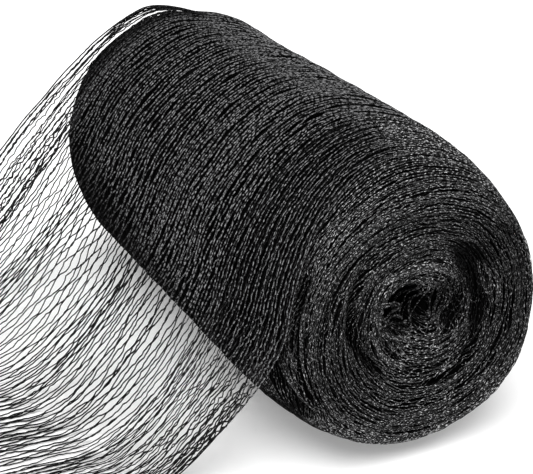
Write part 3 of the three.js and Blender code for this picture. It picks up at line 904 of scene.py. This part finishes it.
def placed_threads(name, finish, radius, seed):
    """Locks of threads on the near end: each thread is a parabola through its row's three places, moved aside
    by its own share of the spread, over the yarn below and dipping into it at both ends."""
    rng = np.random.default_rng(seed)
    count = [row["count"] for row in PLACED_THREADS]
    first, by, last = (
        np.repeat([row[key] for row in PLACED_THREADS], count, 0)[:, None] for key in ("from", "by", "to")
    )
    spread = np.repeat([row["spread"] for row in PLACED_THREADS], count)[:, None]
    held = np.repeat([row.get("held", 0) for row in PLACED_THREADS], count)[:, None]
    along = np.linspace(0, 1, LOCK["steps"])[None]
    share = along[..., None]
    bend = 2 * by - (first + last) / 2
    line = (1 - share) ** 2 * first + 2 * share * (1 - share) * bend + share**2 * last
    aside = unit(np.gradient(line, axis=1))[..., ::-1] * (1, -1)
    own = rng.uniform(-1, 1, spread.shape)
    sway = LOCK["sway"] * np.sin(TURN * (along + rng.uniform(0, 1, spread.shape)))
    y, z = np.moveaxis((line + aside * (spread * (own + sway))[..., None]) * MM, -1, 0)
    way, angle = np.hypot(y, z), np.arctan2(z, y)
    dip = LOCK["dip"] * (2 * along - 1) ** 6
    lift = relief(way, angle)
    lift = mix(lift, lift[:, :1], held) + rng.uniform(0, LOCK["over"], spread.shape) - dip
    # the locks take part of the painted fold shade
    return lay(name, finish, way, angle, lift, radius, False, LOCK["shade"] * fold_shade(way, angle))


# Loose end
def sheet_grid(across_steps=96, along_steps=400):
    """Points of the loose end's middle surface on a grid of shares of its width and length.

    Each strand's way in its own upright plane goes round the roll, leaves it in a cubic curve and runs
    straight along the floor; it is measured and shared out evenly by length. Soft folds run down the fall.
    """
    across = np.linspace(0, 1, across_steps)[:, None]
    blend = {key: mix(FAR_EDGE[key], NEAR_EDGE[key], across) for key in FAR_EDGE}
    settle = 1 - smooth(across, 0, LIFT_SHARE)
    rise = SETTLED + (FAR_EDGE["lift"] - NEAR_EDGE["lift"]) * settle
    later = LEAVE_BULGE["angle"] * smooth(across, 0, LEAVE_BULGE["share"]) * (1 - across)
    leave = np.radians(blend["leave"] + later)
    share = np.linspace(0, 1, PART_STEPS)[None]
    angle = mix(START_ANGLE, leave, share)
    x = mix(blend["start"], blend["side"], smooth(share, 0, 1))
    tucked = 1 - smooth(share, 0, mix(RISE_SHARE["far"], RISE_SHARE["near"], 1 - settle))
    radius = roll_radius(x) + bulges(way_at(x), angle) + mix(rise, -START_SINK, tucked)
    wrap_y, wrap_z = radius * np.cos(angle), axis_height(x) + radius * np.sin(angle)
    end_y, end_z = wrap_y[:, -1:], wrap_z[:, -1:]
    land = blend["land"]
    handles_y = [end_y, end_y - blend["pull"] * np.sin(leave), land + blend["ease"], land]
    handles_z = [end_z, end_z + blend["pull"] * np.cos(leave), FLOOR_LEVEL, FLOOR_LEVEL]
    weights = [(1 - share) ** 3, 3 * share * (1 - share) ** 2, 3 * share**2 * (1 - share), share**3]
    fall_y = sum(w * h for w, h in zip(weights, handles_y))
    fall_z = sum(w * h for w, h in zip(weights, handles_z))
    floor_y = land - share * SHEET_LENGTH
    floor_z = np.full_like(floor_y, FLOOR_LEVEL)
    y = np.concatenate([wrap_y, fall_y[:, 1:], floor_y[:, 1:]], 1)
    z = np.concatenate([wrap_z, fall_z[:, 1:], floor_z[:, 1:]], 1)
    length = np.cumsum(np.hypot(np.diff(y), np.diff(z)), 1)
    way = np.concatenate([np.zeros_like(across), length], 1) / SHEET_LENGTH
    last = PART_STEPS - 1
    parts, lands = way[:, [last]], way[:, [2 * last]]
    along = np.linspace(0, 1, along_steps)
    flat_y = np.stack([np.interp(along, w, row) for w, row in zip(way, y)])
    flat_z = np.stack([np.interp(along, w, row) for w, row in zip(way, z)])
    bow, fall = smooth(along, 0, parts), smooth(along, parts, lands)
    far_x, near_x = (
        mix(mix(edge["start"], edge["side"], bow), edge["floor"], fall) for edge in (FAR_EDGE, NEAR_EDGE)
    )
    folds = FOLD_HEIGHT * 4 * fall * (1 - fall) * (1 + np.sin(TURN * FOLDS_ACROSS * across + FOLD_PHASE))
    return np.stack([mix(far_x, near_x, across), flat_y, flat_z + folds], -1)


SHEET = sheet_grid()


def sheet_point(across, along):
    """The grid read between its points, by straight mixing both ways."""
    rows, columns, _ = SHEET.shape
    i = np.clip(across, 0, 1) * (rows - 1)
    j = np.clip(along, 0, 1) * (columns - 1)
    i0, j0 = np.minimum(i.astype(int), rows - 2), np.minimum(j.astype(int), columns - 2)
    fi, fj = (i - i0)[..., None], (j - j0)[..., None]
    first = mix(SHEET[i0, j0], SHEET[i0 + 1, j0], fi)
    second = mix(SHEET[i0, j0 + 1], SHEET[i0 + 1, j0 + 1], fi)
    return mix(first, second, fj)


def cloth_wave(share, along, across, down, shift=0):
    """Sine of so many waves over the sheet's width and length, shifted by a share of a wave."""
    return np.sin(TURN * (across * share + down * along + shift))


def strand_place(share, along):
    """Place across the sheet of the strand at a share of its width.

    Strands stand closer towards the near edge, closest in its selvedge once they are off the roll, wider by
    the far edge and about the opened cells, and bunch unevenly between the edges. They lean to the near side
    over the roll's top, to the far side where they leave it, and come back on the floor.
    """
    edge = np.sin(np.pi * share)
    bunch = BUNCHING * (cloth_wave(share, along, 4.3, 0.6) + cloth_wave(share, along, 7.1, -0.4))
    spread = OPEN_SPREAD["size"] * np.sin(TURN * (share - OPEN_CELLS["across"]) / OPEN_SPREAD["wide"])
    leave = mix(LEAVES["far"], LEAVES["near"], share)
    lean = LEAN["top"] * smooth(along, 0, LEAN["top_until"])
    lean = lean - LEAN["low"] * smooth(along, leave - LEAVES["before"], leave + LEAVES["after"])
    lean = lean + (LEAN["low"] - LEAN["top"]) * smooth(along, *LEAN["home"])
    off = 1 - share
    near = EDGE_SHIFT["near"] * smooth(along, *OFF_ROLL) * off * np.exp(-((off / SELVEDGE) ** 2))
    far = EDGE_SHIFT["far"] * share * np.exp(-((share / SELVEDGE) ** 2))
    return share + edge * (GATHER + lean + spread + bunch) + near + far


def cell_opening(share, along):
    """How far the cells are drawn open: little on the roll, more off it, most about one place."""
    away = ((share - OPEN_CELLS["across"]) / OPEN_CELLS["wide"]) ** 2
    away = away + ((along - OPEN_CELLS["along"]) / OPEN_CELLS["long"]) ** 2
    plain = mix(CELL_OPEN["roll"], CELL_OPEN["hanging"], smooth(along, CELL_OPEN["from"], OFF_ROLL[1]))
    return plain + CELL_OPEN["drawn"] * np.exp(-away)


def net_shade(share, along, way, depth, twin):
    """Painted shade of the net's threads: painted lit before the roll, dimmer in its furrows and its far
    part, with every second thread dark on the far shoulder; doubled threads, the far selvedge and what is off
    the roll are painted dark."""
    valleys = FURROW_SHADE["net"] * smooth(depth, *FURROW_DEPTHS)
    dim = NET_FAR["shade"] * past(way, FAR_BODY, NET_FAR["way"])
    every_other = np.where(np.arange(len(share)) % 2, NET_SHOULDER["shades"][1], NET_SHOULDER["shades"][0])
    beyond = every_other[:, None] * past(way, FAR_BODY, NET_SHOULDER["way"])
    lit = 1 - (1 - valleys) * (1 - dim) * (1 - beyond)
    before_roll = 1 - smooth(along - NET_LIT["later"] * share, *NET_LIT["until"])
    return mix(NET_PAINTED_DARK, lit, before_roll * smooth(share, *NET_LIT["shares"]) * (1 - twin))


def loose_net(name, finish, seed):
    """Threads of the loose end: evenly over its width, twins between them over the near selvedge, which lies
    double, and strays by the far edge; twins and strays lie deeper on the roll.

    Each thread runs at its share of the width and, unless it is a stray, zigzags to meet the thread on each
    side in turn, touching it at a knot for part of each cell. On the roll the cells are drawn shut and the
    threads lie in pairs; they open as the net falls away from it. Each thread also wanders and crinkles by
    itself. Gives the piece and half of its threads' surface.
    """
    rng = np.random.default_rng(seed)
    steps, pitch, strays = NET["steps"], 1 / NET["spans"], NET_STRAYS["count"]
    even, between = np.arange(0, 1 + pitch / 2, pitch), np.arange(pitch / 2, NET["double"], pitch)
    stray = np.linspace(*NET_STRAYS["shares"], strays) + rng.normal(0, NET_STRAYS["uneven"], strays)
    share = np.concatenate([even, 1 - between, stray])[:, None]
    twin = np.repeat([0, 1], [len(even), len(between) + strays])[:, None]
    count = len(share)
    along = np.linspace(0, 1, steps)[None]
    off_roll = smooth(along, *OFF_ROLL)
    phases = rng.uniform(0, TURN, (count, 8))
    lag = NET_LAG["wide"] * cloth_wave(share, along, 2.3, 0.8)
    lag = lag + NET_LAG["narrow"] * cloth_wave(share, along, 5.9, -1.1)
    zigzag = 2 / np.pi * np.arcsin(np.sin(TURN * (SHEET_LENGTH / CELL_LENGTH * along + lag)))
    knot = np.clip(KNOT_FLAT * zigzag, -1, 1)
    sign = np.where(np.arange(count) % 2, 1, -1)
    sign[-strays:] = 0
    sign = sign[:, None]
    edge = np.sin(np.pi * share) ** 0.4
    bunch = NET_BUNCH["wide"] * cloth_wave(share, along, 13.1, 0.7, 0.3 * np.sin(4 * along))
    bunch = bunch + NET_BUNCH["narrow"] * cloth_wave(share, along, 22.7, -1.3)
    slow, quick = waves(TURN * along, NET_SLOW, phases), waves(TURN * along, NET_QUICK, phases[:, 2:])
    wander = (slow * mix(NET_CALM, 1, off_roll) + quick) * pitch
    rough = NET_ROUGH["plain"] + NET_ROUGH["far"] * smooth(share, *NET_ROUGH["far_shares"])
    near_rough = NET_ROUGH["near"] * smooth(share, *NET_ROUGH["near_shares"])
    rough = rough + near_rough * smooth(along, *ROUGH_ALONG)
    crinkle = rng.normal(0, 1, (count, steps)) * rough * pitch
    meet = sign * pitch * (0.5 * cell_opening(share, along) * knot + NET_PAIRS * (1 - off_roll))
    nudge = 1e-3
    across = strand_place(share, along) + edge * (bunch + meet + wander) + crinkle
    across = np.clip(across, nudge, 1 - nudge)
    point = sheet_point(across, along)
    sideways = sheet_point(across + nudge, along) - sheet_point(across - nudge, along)
    onward = sheet_point(across, along + nudge) - sheet_point(across, along - nudge)
    out = unit(np.cross(onward, sideways))
    way = way_at(point[..., 0])
    angle = np.arctan2(point[..., 2] - axis_height(point[..., 0]), point[..., 1])
    depth = furrows(way, angle)
    sink = (1 - off_roll) * (FOLLOW * depth + TWIN_SINK * twin)
    path = point + out * (waves(TURN * along, NET_RISE, phases[:, 4:]) - sink)[..., None]
    thin = NET_THICK["near"] * smooth(share, *NET_THICK["near_shares"])
    thin = thin + NET_THICK["roll"] * (1 - off_roll) * smooth(share, *NET_THICK["roll_shares"])
    thick = NET["radius"] * (1 + NET_THICK["knot"] * np.abs(knot) ** 6 - thin)
    points, faces, uvs = strands(path, out, thick, False, NET_SIDES)
    shade = np.repeat(net_shade(share, along, way, depth, twin).ravel(), NET_SIDES)
    piece = dress(make_piece(name, points, faces, uvs, shade, finish), "net_loose_end")
    length = np.linalg.norm(np.diff(path, axis=1), axis=-1)
    perimeter = NET_SIDES * np.hypot(1, FLATTEN) * (thick[:, 1:] + thick[:, :-1]) / 2
    return piece, float((length * perimeter).sum() / 2)


# Stage
def make_stage():
    """A plain white floor, a white surround and soft light from the sky."""
    corners = [(-1, -1), (1, -1), (1, 1), (-1, 1)]
    material, start = new_material("floor_white")
    set_surface(start, {
        "Base Color": (0.8, 0.8, 0.8, 1), "Roughness": 0.8, "Specular IOR Level": 0.2,
        "Emission Color": (1, 1, 1, 1), "Emission Strength": FLOOR_GLOW,
    })
    mesh = bpy.data.meshes.new("floor")
    mesh.from_pydata([(x * FLOOR_HALF, y * FLOOR_HALF, 0) for x, y in corners], [], [(0, 1, 2, 3)])
    mesh.materials.append(material)
    floor = bpy.data.objects.new("floor", mesh)
    bpy.context.scene.collection.objects.link(floor)
    world = bpy.data.worlds.new("surround")
    world.use_nodes = True
    world.node_tree.nodes["Background"].inputs["Color"].default_value = (1, 1, 1, 1)
    world.node_tree.nodes["Background"].inputs["Strength"].default_value = SURROUND
    bpy.context.scene.world = world
    sky = bpy.data.lights.new("soft_sky", "SUN")
    sky.energy = SKY["energy"]
    sky.angle = SKY["spread"]
    lamp = bpy.data.objects.new("soft_sky", sky)
    bpy.context.scene.collection.objects.link(lamp)
    lamp.rotation_euler = Vector(SKY["from"]).to_track_quat("Z", "Y").to_euler()
    bpy.context.scene.view_settings.view_transform = "Standard"


make_camera()
make_stage()
yarn = {name: yarn_finish(name, **look) for name, look in YARNS.items()}
wound_yarn, face_yarn, shaded_under_yarn = yarn["wound_yarn"], yarn["face_yarn"], yarn["shaded_under_yarn"]
roll_core(core_finish())

# Turns of the body in two halves, then of the near shoulder, each over deeper ones whose glints are dimmed
# as painted shade, nearly black
middle = (NEAR_BODY + FAR_BODY) / 2
shoulder = NEAR_RIM - 2 * MM
far_start = SECTION_WAY - FAR_RIM + 2 * MM
outer = {"pitch": 3.2 * MM, "radius": 0.42 * MM, "depth": 0.5 * MM, "steps": 280}
inner = {"pitch": 3.2 * MM, "radius": 0.6 * MM, "depth": 1.5 * MM, "steps": 150, "sides": 3}
fine_outer = {"pitch": 1.35 * MM, "radius": 0.27 * MM, "depth": 0.5 * MM, "steps": 280}
fine_inner = {"pitch": 1.8 * MM, "radius": 0.5 * MM, "depth": 1.4 * MM, "steps": 150, "sides": 3}
wound_turns("near_turns", wound_yarn, NEAR_BODY, middle, seed=11, **outer)
wound_turns("far_turns", wound_yarn, middle, far_start, seed=12, **outer)
wound_turns("inner_turns", shaded_under_yarn, NEAR_BODY, far_start, seed=13, **inner)
wound_turns("shoulder_turns", yarn["shoulder_yarn"], shoulder, NEAR_BODY, seed=14, **fine_outer)
wound_turns("shoulder_under", shaded_under_yarn, shoulder, NEAR_BODY, seed=15, **fine_inner)

# Coils of both end faces, the near one over deeper ones, and the threads that lie about on the near one
swirl_turns("near_swirl", face_yarn, True, pitch=1.1 * MM, radius=0.25 * MM, depth=0.5 * MM, seed=16)
swirl_turns("near_swirl_under", shaded_under_yarn, True, pitch=1.4 * MM, radius=0.5 * MM, depth=1.4 * MM, seed=17)
swirl_turns("far_swirl", wound_yarn, False, pitch=1.3 * MM, radius=0.5 * MM, depth=0.6 * MM, seed=18)
stray_threads(
    "near_strays", face_yarn, count=1200, first=22 * MM, last=74 * MM, length=12 * MM, slant=0.16,
    radius=0.22 * MM, depth=0.2 * MM, seed=19,
)
stray_threads(
    "hollow_strays", face_yarn, count=170, first=4 * MM, last=26 * MM, length=13 * MM, slant=0.6,
    radius=0.28 * MM, depth=0, seed=20,
)
placed_threads("near_locks", face_yarn, radius=0.34 * MM, seed=22)

# The loose end, a sheet that is mostly gaps
net, net_area = loose_net("loose_net", yarn["loose_yarn"], seed=21)
